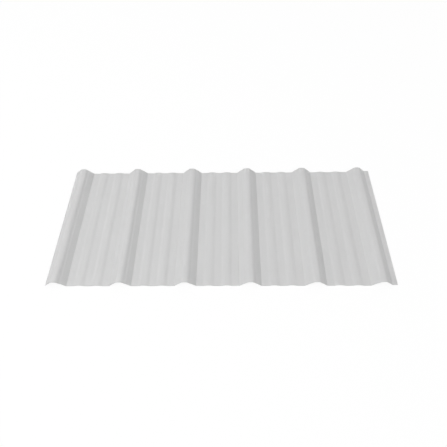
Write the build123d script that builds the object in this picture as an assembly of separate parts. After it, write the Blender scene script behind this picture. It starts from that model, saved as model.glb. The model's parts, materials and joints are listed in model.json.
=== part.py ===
from build123d import *
import os

# Translucent profiled roofing sheet, one moulded piece, in millimetres.
# X runs across the ribs, Y along them and Z up. The undersides of the pans lie at Z = 0, and the
# origin is the middle of the sheet's bounding box, on that plane.
# Heights and widths are those of the underside's corners. Bend radii are on the inside of each bend.

# Sheet
sheet_length = 475.0
thickness = 1.2

# Major ribs
rib_count = 6
rib_pitch = 205.0
rib_height = 25.0
rib_top_width = 17.0
rib_foot_width = 69.0
rib_top_radius = 12.0
rib_foot_radius = 2.0

# Shoulder: a strip part of the way up each flank of a major rib that slopes less than the rest
shoulder_height = 15.5
shoulder_width = 4.0
shoulder_drop = 2.4
shoulder_radius = 4.0

# Minor ribs, two in each pan
minor_spacing = 56.0
minor_height = 3.5
minor_top_width = 13.0
minor_foot_width = 34.0
minor_radius = 22.0

# Side laps: the left flank stops short of the pan, and the right one ends in a raised lip
lap_edge_height = 5.0
lip_height = 5.0
lip_width = 16.5
lip_radius = 4.0


def rib_side(end_height):
    """Half of a major rib from its lower end to its crest, as (reach, height) corners and their radii.

    Reach is the distance from the crest's middle. The shoulder's middle lies on the straight line
    between foot and crest, and the flank may end above the foot, for a side lap.
    """
    foot, top = rib_foot_width / 2, rib_top_width / 2
    middle = foot + (top - foot) * shoulder_height / rib_height
    outer = (middle + shoulder_width / 2, shoulder_height - shoulder_drop / 2)
    inner = (middle - shoulder_width / 2, shoulder_height + shoulder_drop / 2)
    end = (foot + (outer[0] - foot) * end_height / outer[1], end_height)
    corners = [end, outer, inner, (top, rib_height)]
    return list(zip(corners, [rib_foot_radius, shoulder_radius, shoulder_radius, rib_top_radius]))


def major_rib(crest_x, left_end, right_end):
    """Bends of one major rib, from left to right, with its flanks ending at those heights."""
    left = [((crest_x - reach, height), radius) for (reach, height), radius in rib_side(left_end)]
    right = [((crest_x + reach, height), radius) for (reach, height), radius in rib_side(right_end)]
    return left + right[::-1]


def minor_rib(centre_x):
    """Bends of one minor rib, from left to right."""
    foot, top = minor_foot_width / 2, minor_top_width / 2
    corners = [(-foot, 0), (-top, minor_height), (top, minor_height), (foot, 0)]
    return [((centre_x + x, height), minor_radius) for x, height in corners]


def sheet_bends():
    """Corners and radii of the whole underside, from the left edge to the right one."""
    bends = []
    for number in range(rib_count):
        crest_x = (number - (rib_count - 1) / 2) * rib_pitch
        is_first, is_last = number == 0, number == rib_count - 1
        bends += major_rib(crest_x, lap_edge_height if is_first else 0, lip_height if is_last else 0)
        if not is_last:
            pan_x = crest_x + rib_pitch / 2
            bends += minor_rib(pan_x - minor_spacing / 2) + minor_rib(pan_x + minor_spacing / 2)
    (lip_start, _), _ = bends[-1]
    bends[-1] = ((lip_start, lip_height), lip_radius)
    bends.append(((lip_start + lip_width, lip_height), 0))
    return bends


def underside_line(bends):
    """The underside as straight runs and tangent arcs.

    Where the line turns upwards, the inside of the bend is the sheet's upper face, so the underside
    has the radius of the bend and the wall together.
    """
    corners = [Vector(*corner) for corner, _ in bends]
    radii = []
    for before, corner, after, (_, radius) in zip(corners, corners[1:], corners[2:], bends[1:]):
        turns_up = (corner - before).cross(after - corner).Z > 0
        radii.append(radius + thickness if turns_up else radius)
    return FilletPolyline(*corners, radius=radii)


def roofing_sheet():
    """The underside thickened upwards into a section, centred and extruded along the ribs."""
    outline = offset(underside_line(sheet_bends()), amount=thickness, side=Side.LEFT, closed=True)
    section = make_face(outline.edges())
    centred = Pos(X=-section.bounding_box().center().X) * section
    return extrude(Plane.XZ * centred, amount=sheet_length / 2, both=True)


os.makedirs("parts", exist_ok=True)
sheet = roofing_sheet()
sheet.label = "roofing_sheet"
export_step(sheet, "parts/roofing_sheet.step")
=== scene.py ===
"""Models a translucent profiled roofing sheet around its packed frame and sets up a plain studio."""
import json
import math
from collections import namedtuple

import bmesh
import bpy
from bpy.props import FloatProperty, FloatVectorProperty, IntProperty, PointerProperty
from mathutils import Matrix, Vector


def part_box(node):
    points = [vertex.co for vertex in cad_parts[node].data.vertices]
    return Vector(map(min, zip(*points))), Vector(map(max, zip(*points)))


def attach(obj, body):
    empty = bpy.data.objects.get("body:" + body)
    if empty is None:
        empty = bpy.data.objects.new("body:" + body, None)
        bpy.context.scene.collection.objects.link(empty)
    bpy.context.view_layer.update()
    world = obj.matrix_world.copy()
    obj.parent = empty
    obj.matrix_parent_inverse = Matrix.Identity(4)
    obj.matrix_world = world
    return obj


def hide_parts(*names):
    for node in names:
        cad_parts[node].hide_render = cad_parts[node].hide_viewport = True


bl_info = {
    "name": "Translucent Roofing Sheet",
    "version": (1, 0, 0),
    "blender": (4, 5, 0),
    "location": "3D View > Sidebar > Roofing",
    "description": "Models a ribbed translucent roofing sheet with its side laps, finish and studio",
    "category": "Object",
}

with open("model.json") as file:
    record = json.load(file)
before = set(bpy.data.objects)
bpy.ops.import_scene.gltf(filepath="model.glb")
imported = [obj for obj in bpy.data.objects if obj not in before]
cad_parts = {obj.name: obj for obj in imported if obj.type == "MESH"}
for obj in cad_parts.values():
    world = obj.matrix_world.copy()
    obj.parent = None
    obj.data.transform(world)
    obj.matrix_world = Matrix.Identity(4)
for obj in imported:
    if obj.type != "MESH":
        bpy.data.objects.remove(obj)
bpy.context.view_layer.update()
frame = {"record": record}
SHEET_NODE = "roofing_sheet"
SHEET_LOW, SHEET_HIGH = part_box(SHEET_NODE)


def mount_points(first_word):
    """Places of the record's mounts whose names start with that word, from left to right."""
    places = [Vector(m["pos_m"]) for m in frame["record"]["mounts"] if m["name"].startswith(first_word)]
    return sorted(places, key=lambda place: place.x)


CRESTS = mount_points("crest_seat")
RIB_UNDERSIDE = mount_points("lap_cover_seat")[0]
PATTERN_MIDDLE = (CRESTS[0].x + CRESTS[-1].x) / 2

MILLIMETRE = 0.001
SNAP = 0.01 * MILLIMETRE  # Places that are closer than this are the same.

# Number of faces round each kind of bend, along each run and round the cut edges
FOOT_FACES = 5
SHOULDER_FACES = 3
TOP_FACES = 8
MINOR_FACES = 6
LENGTH_CUTS = 11
EDGE_FACES = 2

# Arcs whose lengths agree to this many decimals of a metre are bevelled together.
ARC_DECIMALS = 7

# Folds sharper than the first are cut edges, and folds flatter than the second are shaded smooth.
CUT_ANGLE = math.radians(60)
SMOOTH_ANGLE = math.radians(35)

# The cut edges' roughness, grain and painted shade start this far inside the sheet's box and are full after
# the fade, in walls.
CUT_REACH = 0.5
CUT_FADE = 0.25

# Patterns in the plastic, in cells for each metre. Draw lines and waves are stretched along the ribs.
CLOUD_CELLS = 9
MOTTLE_CELLS = 260
GRAIN_CELLS = 1500
LINE_CELLS = 420
LINE_STRETCH = (1, 0.006, 1)
WAVE_CELLS = 14
WAVE_STRETCH = (1, 0.4, 1)

# How much each pattern moves the tint away from its middle, and how much it adds to the roughness
MIDDLE_TINT = 0.5
CLOUD_TINT = 0.3
MOTTLE_TINT = 0.8
LINE_TINT = 0.15
MOTTLE_ROUGHNESS = 0.08
LINE_ROUGHNESS = 0.05

# Height of each pattern in the bump relief, as a multiple of the relief's depth
WAVE_RELIEF = 0.5
GRAIN_RELIEF = 0.2
LINE_RELIEF = 0.1
CUT_GRAIN_RELIEF = 4
RELIEF_DEPTH = 0.04 * MILLIMETRE
RELIEF_STRENGTH = 0.35

# Index of refraction of the plastic, and how far light scatters inside it, in walls
PLASTIC_IOR = 1.49
SCATTER_REACH = 0.25

FLOOR_WIDTH = 40
FLOOR_GAP = 0.3 * MILLIMETRE
SENSOR_WIDTH = 36  # Of a full-frame camera, in millimetres, as the camera's lens is.
WHITE = (1, 1, 1, 1)


def length_property(name, description, default):
    """A size in metres that the sidebar shows as a length."""
    return FloatProperty(name=name, description=description, default=default, min=0, precision=4,
                         subtype="DISTANCE", unit="LENGTH")


def share_property(name, description, default):
    """A share between none and all."""
    return FloatProperty(name=name, description=description, default=default, min=0, max=1, subtype="FACTOR")


def angle_property(name, description, degrees):
    """An angle, given in degrees."""
    return FloatProperty(name=name, description=description, default=math.radians(degrees),
                         subtype="ANGLE", unit="ROTATION")


def place_property(name, description, default):
    """A place in the scene."""
    return FloatVectorProperty(name=name, description=description, default=default, size=3, precision=4,
                               subtype="TRANSLATION", unit="LENGTH")


def colour_property(name, description, default):
    """An opaque colour."""
    return FloatVectorProperty(name=name, description=description, default=default, min=0, max=1, size=3,
                               subtype="COLOR")


class RoofingSizes(bpy.types.PropertyGroup):
    """Sizes of the sheet's section, measured at the corners of its underside."""

    wall: length_property("Wall", "Thickness of the sheet", CRESTS[0].z - RIB_UNDERSIDE.z)
    rib_count: IntProperty(name="Major ribs", description="Number of major ribs", default=len(CRESTS), min=2)
    rib_pitch: length_property("Rib pitch", "From crest to crest", CRESTS[1].x - CRESTS[0].x)
    rib_height: length_property("Rib height", "Height of a major rib", RIB_UNDERSIDE.z)
    rib_top: length_property("Rib top", "Width of a major rib's top", 17 * MILLIMETRE)
    rib_foot: length_property("Rib foot", "Width of a major rib at the pans", 69 * MILLIMETRE)
    rib_top_radius: length_property("Rib top bend", "Inside radius at a major rib's top", 12 * MILLIMETRE)
    rib_foot_radius: length_property("Rib foot bend", "Inside radius at a major rib's foot", 2 * MILLIMETRE)
    shoulder_height: length_property("Shoulder height", "Height of the middle of a flank's gentler strip",
                                     15.5 * MILLIMETRE)
    shoulder_width: length_property("Shoulder width", "Width of that strip, from above", 4 * MILLIMETRE)
    shoulder_drop: length_property("Shoulder drop", "Fall across that strip", 2.4 * MILLIMETRE)
    shoulder_radius: length_property("Shoulder bend", "Inside radius beside that strip", 4 * MILLIMETRE)
    minor_spacing: length_property("Minor spacing", "Between the two minor ribs of a pan", 56 * MILLIMETRE)
    minor_height: length_property("Minor rib height", "Height of a minor rib", 3.5 * MILLIMETRE)
    minor_top: length_property("Minor rib top", "Width of a minor rib's top", 13 * MILLIMETRE)
    minor_foot: length_property("Minor rib foot", "Width of a minor rib at the pan", 34 * MILLIMETRE)
    minor_radius: length_property("Minor rib bend", "Inside radius of a minor rib's bends", 22 * MILLIMETRE)
    lap_height: length_property("Lap height", "Height of both side edges over the pans", 5 * MILLIMETRE)
    lip_width: length_property("Lip width", "Width of the right-hand lap's level lip", 16.5 * MILLIMETRE)
    lip_radius: length_property("Lip bend", "Inside radius from the last flank to the lip", 4 * MILLIMETRE)
    edge_round: length_property("Edge rounding", "Rounding of the cut edges", 0.15 * MILLIMETRE)


class RoofingFinish(bpy.types.PropertyGroup):
    """The plastic's colour and surface."""

    colour: colour_property("Plastic", "Colour of the plastic", (0.74, 0.74, 0.74))
    clouding: share_property("Clouding", "How much the opal tint varies", 0.03)
    see_through: share_property("See-through", "Share of the light that goes through the wall", 0.25)
    glow_through: share_property("Glow-through", "Share of the rest that is scattered inside the wall", 1)
    roughness: share_property("Roughness", "Roughness of the moulded faces", 0.5)
    cut_roughness: share_property("Cut roughness", "Roughness of the cut edges", 0.7)
    # Painted shade: darkens the cut edges' colour to stand in for their dim look.
    cut_painted_shade: share_property("Cut shade", "How much darker the cut edges are than the faces", 0.25)


class RoofingStudio(bpy.types.PropertyGroup):
    """Floor, light and camera."""

    floor: colour_property("Floor", "Colour of the floor", (0.7, 0.7, 0.7))
    floor_glow: share_property("Floor glow", "How much of the floor's white is free of shadow", 0.9)
    floor_white: FloatProperty(name="Floor white", description="Strength of that shadow-free white",
                               default=1.03, min=0)
    backdrop: share_property("Backdrop", "White of the surroundings, as the far floor's", 0.99)
    ambient: FloatProperty(name="Ambient", description="Strength of the light from all around",
                           default=0.72, min=0)
    key_power: FloatProperty(name="Key power", description="Power of the soft lamp", default=93.5, min=0,
                             subtype="POWER", unit="POWER")
    key_size: length_property("Key size", "Width of the soft lamp", 2)
    key_place: place_property("Key place", "Place of the soft lamp", (-2.5, -1.2, 4.2))
    lens: FloatProperty(name="Lens", description="Focal length of the camera", default=33.22, min=1,
                        subtype="DISTANCE_CAMERA", unit="CAMERA")
    camera_place: place_property("Camera place", "Place of the camera", (0.0348, -0.8276, 1.1654))
    camera_turn: angle_property("Camera turn", "To the left of straight along the ribs", 1.785)
    camera_dip: angle_property("Camera dip", "Below level", 54.527)
    camera_roll: angle_property("Camera roll", "Roll about the line of sight", -1.713)


Bend = namedtuple("Bend", "x z radius faces")
Bend.__doc__ = "One corner of the underside, with its inside radius and the number of faces round it."


def rib_side(sizes, end_height):
    """Bends of half a major rib from its lower end to its top, with x as the distance from the crest."""
    foot, top = sizes.rib_foot / 2, sizes.rib_top / 2
    middle = foot + (top - foot) * sizes.shoulder_height / sizes.rib_height
    half_width, half_drop = sizes.shoulder_width / 2, sizes.shoulder_drop / 2
    outer_x, outer_z = middle + half_width, sizes.shoulder_height - half_drop
    end_x = foot + (outer_x - foot) * end_height / outer_z
    return [
        Bend(end_x, end_height, sizes.rib_foot_radius, FOOT_FACES),
        Bend(outer_x, outer_z, sizes.shoulder_radius, SHOULDER_FACES),
        Bend(middle - half_width, sizes.shoulder_height + half_drop, sizes.shoulder_radius, SHOULDER_FACES),
        Bend(top, sizes.rib_height, sizes.rib_top_radius, TOP_FACES),
    ]


def major_rib(sizes, crest_x, left_end, right_end):
    """Bends of one major rib from left to right, with its flanks ending at those heights."""
    left = [bend._replace(x=crest_x - bend.x) for bend in rib_side(sizes, left_end)]
    right = [bend._replace(x=crest_x + bend.x) for bend in rib_side(sizes, right_end)]
    return left + right[::-1]


def minor_rib(sizes, middle_x):
    """Bends of one minor rib from left to right."""
    foot, top = sizes.minor_foot / 2, sizes.minor_top / 2
    corners = [(-foot, 0), (-top, sizes.minor_height), (top, sizes.minor_height), (foot, 0)]
    return [Bend(middle_x + x, z, sizes.minor_radius, MINOR_FACES) for x, z in corners]


def sheet_bends(sizes):
    """Bends of the whole underside, from the left cut edge to the end of the right-hand lip."""
    bends = []
    for number in range(sizes.rib_count):
        crest_x = PATTERN_MIDDLE + (number - (sizes.rib_count - 1) / 2) * sizes.rib_pitch
        is_first, is_last = number == 0, number == sizes.rib_count - 1
        left_end = sizes.lap_height if is_first else 0
        right_end = sizes.lap_height if is_last else 0
        bends += major_rib(sizes, crest_x, left_end, right_end)
        if not is_last:
            pan_x = crest_x + sizes.rib_pitch / 2
            bends += minor_rib(sizes, pan_x - sizes.minor_spacing / 2)
            bends += minor_rib(sizes, pan_x + sizes.minor_spacing / 2)
    bends[-1] = bends[-1]._replace(radius=sizes.lip_radius)
    bends.append(bends[-1]._replace(x=bends[-1].x + sizes.lip_width))
    return bends


def tangent_lengths(bends, wall):
    """How far the arc of each bend but the two ends reaches along the runs beside it.

    Where the underside turns upwards, the inside of the bend is the upper face, a wall further in.
    """
    lengths = []
    for before, bend, after in zip(bends, bends[1:], bends[2:]):
        slope_before = math.atan2(bend.z - before.z, bend.x - before.x)
        slope_after = math.atan2(after.z - bend.z, after.x - bend.x)
        radius = bend.radius + wall if slope_after > slope_before else bend.radius
        lengths.append(radius * math.tan(abs(slope_after - slope_before) / 2))
    return lengths


def select_edges(is_chosen):
    """Selects only the edges of the mesh in edit mode for which is_chosen(edge) is true."""
    bpy.ops.mesh.select_all(action="DESELECT")
    mesh = bmesh.from_edit_mesh(bpy.context.object.data)
    for edge in mesh.edges:
        if is_chosen(edge):
            edge.select_set(True)
    mesh.select_flush_mode()
    bmesh.update_edit_mesh(bpy.context.object.data)


def is_lengthwise(edge):
    """Whether an edge runs along the ribs."""
    start, end = edge.verts
    return abs(start.co.y - end.co.y) > SNAP and abs(start.co.x - end.co.x) < SNAP


def lies_at(edge, bends):
    """Whether a lengthwise edge is the corner of one of those bends."""
    place = edge.verts[0].co
    return is_lengthwise(edge) and any(
        abs(place.x - bend.x) < SNAP and abs(place.z - bend.z) < SNAP for bend in bends)


def fold_strip(bends):
    """A flat strip over the first run, whose right edge is then pulled out from corner to corner."""
    first, second = bends[0], bends[1]
    bpy.ops.object.select_all(action="DESELECT")
    bpy.ops.mesh.primitive_plane_add(size=1, location=(0, 0, 0))
    length = SHEET_HIGH.y - SHEET_LOW.y
    middle_y = (SHEET_LOW.y + SHEET_HIGH.y) / 2
    bpy.ops.transform.resize(value=(second.x - first.x, length, 1))
    bpy.ops.transform.translate(value=((first.x + second.x) / 2, middle_y, first.z))
    bpy.ops.object.transform_apply(location=True, rotation=False, scale=True)
    bpy.ops.object.mode_set(mode="EDIT")
    bpy.ops.mesh.select_mode(type="EDGE")
    select_edges(lambda edge: is_lengthwise(edge) and abs(edge.verts[0].co.x - second.x) < SNAP)
    bpy.ops.transform.translate(value=(0, 0, second.z - first.z))
    for before, bend in zip(bends[1:], bends[2:]):
        step = (bend.x - before.x, 0, bend.z - before.z)
        bpy.ops.mesh.extrude_region_move(TRANSFORM_OT_translate={"value": step})
    bpy.ops.object.mode_set(mode="OBJECT")
    return bpy.context.object


def face_upwards(sheet):
    """Turns the strip's faces so that they all point up."""
    bpy.ops.object.mode_set(mode="EDIT")
    bpy.ops.mesh.select_all(action="SELECT")
    bpy.ops.mesh.normals_make_consistent(inside=False)
    bpy.ops.object.mode_set(mode="OBJECT")
    if sum(face.normal.z * face.area for face in sheet.data.polygons) < 0:
        bpy.ops.object.mode_set(mode="EDIT")
        bpy.ops.mesh.flip_normals()
        bpy.ops.object.mode_set(mode="OBJECT")


def round_bends(bends, wall):
    """Bevels the strip's folds, all folds with the same arc at once."""
    alike = {}
    for bend, length in zip(bends[1:-1], tangent_lengths(bends, wall)):
        alike.setdefault((round(length, ARC_DECIMALS), bend.faces), []).append(bend)
    bpy.ops.object.mode_set(mode="EDIT")
    for (length, faces), group in alike.items():
        select_edges(lambda edge: lies_at(edge, group))
        bpy.ops.mesh.bevel(offset_type="OFFSET", offset=length, segments=faces, profile=0.5,
                           affect="EDGES", clamp_overlap=False)
    bpy.ops.object.mode_set(mode="OBJECT")


def divide_lengthwise():
    """Cuts every long face of the strip across, so that no face is a sliver."""
    bpy.ops.object.mode_set(mode="EDIT")
    select_edges(is_lengthwise)
    bpy.ops.mesh.subdivide(number_cuts=LENGTH_CUTS)
    bpy.ops.object.mode_set(mode="OBJECT")


def apply_modifier(piece, kind, **settings):
    """Adds one modifier to the piece with those settings and applies it."""
    bpy.ops.object.modifier_add(type=kind)
    modifier = piece.modifiers[-1]
    for name, value in settings.items():
        setattr(modifier, name, value)
    bpy.ops.object.modifier_apply(modifier=modifier.name)


class Wire:
    """A socket in a material, which can be used in a formula. Each operator adds a Math node."""

    def __init__(self, shop, socket):
        self.shop = shop
        self.socket = socket

    def math(self, operation, *values):
        """The result of a Math node on those values."""
        return self.shop.node("ShaderNodeMath", {"operation": operation}, dict(enumerate(values)))

    def __add__(self, other):
        return self.math("ADD", self, other)

    def __radd__(self, other):
        return self.math("ADD", other, self)

    def __sub__(self, other):
        return self.math("SUBTRACT", self, other)

    def __rsub__(self, other):
        return self.math("SUBTRACT", other, self)

    def __mul__(self, other):
        return self.math("MULTIPLY", self, other)

    def __rmul__(self, other):
        return self.math("MULTIPLY", other, self)

    def __truediv__(self, other):
        return self.math("DIVIDE", self, other)

    def __rtruediv__(self, other):
        return self.math("DIVIDE", other, self)

    def __abs__(self):
        return self.math("ABSOLUTE", self)

    def at_least(self, other):
        """The larger of the two."""
        return self.math("MAXIMUM", self, other)

    def at_most(self, other):
        """The smaller of the two."""
        return self.math("MINIMUM", self, other)

    def held(self):
        """The value kept between 0 and 1."""
        return self.at_least(0).at_most(1)


class Shop:
    """Builds the nodes of one material or of the world."""

    def __init__(self, owner):
        owner.use_nodes = True
        self.tree = owner.node_tree
        self.tree.nodes.clear()

    def node(self, kind, settings=None, inputs=None, output=0):
        """Adds a node with its settings first, then its sockets' values or links. Gives one output."""
        node = self.tree.nodes.new(kind)
        for name, value in (settings or {}).items():
            setattr(node, name, value)
        for name, value in (inputs or {}).items():
            if isinstance(value, Wire):
                self.tree.links.new(value.socket, node.inputs[name])
            else:
                node.inputs[name].default_value = value
        return Wire(self, node.outputs[output]) if node.outputs else node

    def blend(self, share, first, second):
        """The first colour where the share is 0 and the second where it is 1."""
        inputs = {"Factor": share, "A": first, "B": second}
        return self.node("ShaderNodeMix", {"data_type": "RGBA"}, inputs, output="Result")

    def place(self):
        """A point's place on the object."""
        return self.node("ShaderNodeTexCoord", output="Object")

    def noise(self, cells, stretch=(1, 1, 1), detail=1, roughness=0.5):
        """Cloudy noise about 0, mostly between -0.5 and 0.5, with that many cells in a metre."""
        place = self.node("ShaderNodeMapping", inputs={"Vector": self.place(), "Scale": stretch})
        inputs = {"Vector": place, "Scale": cells, "Detail": detail, "Roughness": roughness}
        return self.node("ShaderNodeTexNoise", inputs=inputs) - 0.5


def opaque(colour, brightness=1):
    """A colour with full alpha, made lighter or darker."""
    return (*(channel * brightness for channel in colour), 1)


def cut_edges(shop, wall):
    """1 on the sheet's cut edges and 0 on its faces."""
    depths = []
    for axis, end in (("X", SHEET_HIGH.x), ("Y", SHEET_HIGH.y)):
        place = shop.node("ShaderNodeSeparateXYZ", inputs={"Vector": shop.place()}, output=axis)
        depths.append((abs(place) - (end - CUT_REACH * wall)) / (CUT_FADE * wall))
    return depths[0].at_least(depths[1]).held()


def plastic_material(finish, wall):
    """Opal plastic: a cloudy tint, faint lines along the ribs, and duller, rougher cut edges."""
    material = bpy.data.materials.new("translucent_plastic")
    shop = Shop(material)
    cut = cut_edges(shop, wall)
    clouds = shop.noise(CLOUD_CELLS, detail=3)
    mottle = shop.noise(MOTTLE_CELLS, detail=2)
    draw_lines = shop.noise(LINE_CELLS, stretch=LINE_STRETCH, detail=2, roughness=0.6)
    grain = shop.noise(GRAIN_CELLS)
    waves = shop.noise(WAVE_CELLS, stretch=WAVE_STRETCH)

    tint = (MIDDLE_TINT + CLOUD_TINT * clouds + MOTTLE_TINT * mottle + LINE_TINT * draw_lines).held()
    deep = opaque(finish.colour, 1 - finish.clouding)
    light = opaque(finish.colour, 1 + finish.clouding)
    # Painted shade: the cut edges' colour is made darker than the faces' to copy their dim look.
    painted_edge_shade = opaque(finish.colour, 1 - finish.cut_painted_shade)
    colour = shop.blend(cut, shop.blend(tint, deep, light), painted_edge_shade)

    satin = finish.roughness + LINE_ROUGHNESS * draw_lines + MOTTLE_ROUGHNESS * mottle
    roughness = satin + cut * (finish.cut_roughness - satin)
    face_relief = LINE_RELIEF * draw_lines + GRAIN_RELIEF * grain + WAVE_RELIEF * waves
    relief = face_relief + CUT_GRAIN_RELIEF * cut * grain
    bump = shop.node("ShaderNodeBump",
                     inputs={"Height": relief, "Strength": RELIEF_STRENGTH, "Distance": RELIEF_DEPTH})

    plastic = shop.node("ShaderNodeBsdfPrincipled", inputs={
        "Base Color": colour, "Roughness": roughness, "Normal": bump, "IOR": PLASTIC_IOR,
        "Transmission Weight": finish.see_through, "Subsurface Weight": finish.glow_through,
        "Subsurface Radius": (1, 1, 1), "Subsurface Scale": SCATTER_REACH * wall})
    shop.node("ShaderNodeOutputMaterial", inputs={"Surface": plastic})
    return material


def background_sight(shop):
    """1 for rays that show the background itself, seen directly, mirrored or through the plastic."""
    sights = [shop.node("ShaderNodeLightPath", output=name)
              for name in ("Is Camera Ray", "Is Glossy Ray", "Is Transmission Ray")]
    return (sights[0] + sights[1] + sights[2]).held()


def floor_material(studio):
    """Pale matt floor that mostly reads as white but keeps a soft shadow."""
    material = bpy.data.materials.new("studio_floor")
    shop = Shop(material)
    matt = shop.node("ShaderNodeBsdfDiffuse", inputs={"Color": opaque(studio.floor)})
    glow = shop.node("ShaderNodeEmission", inputs={"Color": WHITE, "Strength": studio.floor_white})
    share = background_sight(shop) * studio.floor_glow
    surface = shop.node("ShaderNodeMixShader", inputs={0: share, 1: matt, 2: glow})
    shop.node("ShaderNodeOutputMaterial", inputs={"Surface": surface})
    return material


class ROOFING_OT_make_sheet(bpy.types.Operator):
    """Model the ribbed sheet with its bends, side laps, wall and cut edges"""

    bl_idname = "roofing.make_sheet"
    bl_label = "Make sheet"

    def execute(self, context):
        sizes = context.scene.roofing_sizes
        bends = sheet_bends(sizes)
        sheet = fold_strip(bends)
        sheet.name = sheet.data.name = "profiled_sheet"
        face_upwards(sheet)
        round_bends(bends, sizes.wall)
        divide_lengthwise()
        apply_modifier(sheet, "SOLIDIFY", thickness=sizes.wall, offset=1, use_even_offset=True)
        apply_modifier(sheet, "BEVEL", width=sizes.edge_round, segments=EDGE_FACES, limit_method="ANGLE",
                       angle_limit=CUT_ANGLE)
        bpy.ops.object.shade_smooth_by_angle(angle=SMOOTH_ANGLE)
        sheet.data.materials.append(plastic_material(context.scene.roofing_finish, sizes.wall))
        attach(sheet, "root")
        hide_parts(SHEET_NODE)
        return {"FINISHED"}


class ROOFING_OT_set_stage(bpy.types.Operator):
    """Add the floor, the soft light, the white surroundings and the camera"""

    bl_idname = "roofing.set_stage"
    bl_label = "Set stage"

    def execute(self, context):
        studio = context.scene.roofing_studio
        self.lay_floor(studio)
        self.light_surroundings(context.scene, studio)
        self.hang_key_lamp(studio)
        self.set_camera(context.scene, studio)
        context.scene.view_settings.view_transform = "Standard"
        return {"FINISHED"}

    def lay_floor(self, studio):
        """A wide floor a hair under the sheet, so that the two don't share a plane."""
        bpy.ops.object.select_all(action="DESELECT")
        bpy.ops.mesh.primitive_plane_add(size=FLOOR_WIDTH, location=(0, 0, SHEET_LOW.z - FLOOR_GAP))
        floor = bpy.context.object
        floor.name = "studio_floor"
        floor.data.materials.append(floor_material(studio))

    def light_surroundings(self, scene, studio):
        """Even light from all around, which shows as plain white."""
        world = bpy.data.worlds.new("studio_surroundings")
        scene.world = world
        shop = Shop(world)
        strength = studio.ambient + (studio.backdrop - studio.ambient) * background_sight(shop)
        glow = shop.node("ShaderNodeBackground", inputs={"Color": WHITE, "Strength": strength})
        shop.node("ShaderNodeOutputWorld", inputs={"Surface": glow})

    def hang_key_lamp(self, studio):
        """A large soft lamp high on the left and a little in front, aimed at the sheet's middle."""
        bpy.ops.object.light_add(type="AREA", location=studio.key_place)
        lamp = bpy.context.object
        lamp.name = "key_lamp"
        lamp.data.shape = "DISK"
        lamp.data.size = studio.key_size
        lamp.data.energy = studio.key_power
        lamp.rotation_euler = (-lamp.location).to_track_quat("-Z", "Y").to_euler()

    def set_camera(self, scene, studio):
        """A camera above the near ends of the ribs, looking down on the sheet."""
        bpy.ops.object.camera_add()
        camera = bpy.context.object
        camera.name = "studio_camera"
        camera.data.lens = studio.lens
        camera.data.sensor_width = SENSOR_WIDTH
        turn = Matrix.Rotation(studio.camera_turn, 4, "Z")
        tilt = Matrix.Rotation(math.pi / 2 - studio.camera_dip, 4, "X")
        roll = Matrix.Rotation(studio.camera_roll, 4, "Z")
        camera.matrix_world = Matrix.Translation(studio.camera_place) @ turn @ tilt @ roll
        scene.camera = camera


class ROOFING_PT_panel(bpy.types.Panel):
    """Sizes, finish and studio of the roofing sheet"""

    bl_idname = "ROOFING_PT_panel"
    bl_label = "Roofing sheet"
    bl_space_type = "VIEW_3D"
    bl_region_type = "UI"
    bl_category = "Roofing"

    def draw(self, context):
        scene = context.scene
        for title, group in (("Sizes", scene.roofing_sizes), ("Finish", scene.roofing_finish),
                             ("Studio", scene.roofing_studio)):
            box = self.layout.box()
            box.label(text=title)
            for name in group.__annotations__:
                box.prop(group, name)
        self.layout.operator(ROOFING_OT_make_sheet.bl_idname)
        self.layout.operator(ROOFING_OT_set_stage.bl_idname)


CLASSES = (RoofingSizes, RoofingFinish, RoofingStudio, ROOFING_OT_make_sheet, ROOFING_OT_set_stage,
           ROOFING_PT_panel)


def register():
    """Registers the classes and gives each scene its settings."""
    for new_class in CLASSES:
        bpy.utils.register_class(new_class)
    bpy.types.Scene.roofing_sizes = PointerProperty(type=RoofingSizes)
    bpy.types.Scene.roofing_finish = PointerProperty(type=RoofingFinish)
    bpy.types.Scene.roofing_studio = PointerProperty(type=RoofingStudio)


def unregister():
    """Undoes register."""
    del bpy.types.Scene.roofing_studio
    del bpy.types.Scene.roofing_finish
    del bpy.types.Scene.roofing_sizes
    for old_class in reversed(CLASSES):
        bpy.utils.unregister_class(old_class)


def main():
    """Makes the sheet and the stage, and writes both boxes for comparison."""
    register()
    bpy.ops.roofing.make_sheet()
    bpy.ops.roofing.set_stage()


if __name__ == "__main__":
    main()
